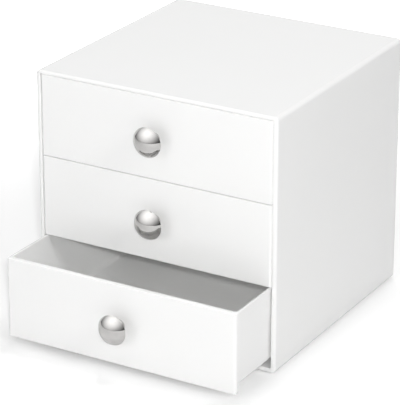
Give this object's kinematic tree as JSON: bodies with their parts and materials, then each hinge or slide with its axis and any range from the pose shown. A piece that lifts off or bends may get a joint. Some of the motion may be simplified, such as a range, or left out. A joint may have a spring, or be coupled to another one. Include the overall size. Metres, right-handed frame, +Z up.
{
  "type": "nail polish organizer drawers",
  "caption": "Small white moulded organizer case with stacked pull-out drawers for nail polish, each with one round chrome mushroom knob.",
  "frame": {"origin": "on the surface that the organizer stands on, under the centre of the case", "axes": "+Z up, +Y from the drawer fronts to the back wall, +X to the right seen from the front; the drawers open towards -Y"},
  "size_m": [0.165, 0.2186, 0.163],
  "materials": {
    "case_plastic": "white injection-moulded polystyrene with a bright gloss",
    "drawer_plastic": "white injection-moulded polystyrene with a bright gloss",
    "shelf_plastic": "white moulded sheet, a little less glossy than the case",
    "knob_chrome": "polished chrome plating",
    "screw_steel": "zinc-plated steel",
    "foot_rubber": "grey translucent non-slip rubber"
  },
  "bodies": {
    "case": {"case_shell": "case_plastic", "shelf_lower": "shelf_plastic", "shelf_upper": "shelf_plastic", "foot_front_left": "foot_rubber", "foot_front_right": "foot_rubber", "foot_back_left": "foot_rubber", "foot_back_right": "foot_rubber"},
    "top_drawer": {"drawer_top": "drawer_plastic", "knob_top": "knob_chrome", "knob_screw_top": "screw_steel"},
    "middle_drawer": {"drawer_middle": "drawer_plastic", "knob_middle": "knob_chrome", "knob_screw_middle": "screw_steel"},
    "bottom_drawer": {"drawer_bottom": "drawer_plastic", "knob_bottom": "knob_chrome", "knob_screw_bottom": "screw_steel"}
  },
  "joints": [
    {"name": "top_drawer_slide", "type": "slide", "parent": "case", "child": "top_drawer", "axis": [0, -1, 0], "range_m": [0, 0.117]},
    {"name": "middle_drawer_slide", "type": "slide", "parent": "case", "child": "middle_drawer", "axis": [0, -1, 0], "range_m": [0, 0.117]},
    {"name": "bottom_drawer_slide", "type": "slide", "parent": "case", "child": "bottom_drawer", "axis": [0, -1, 0], "range_m": [-0.041, 0.076]}
  ]
}
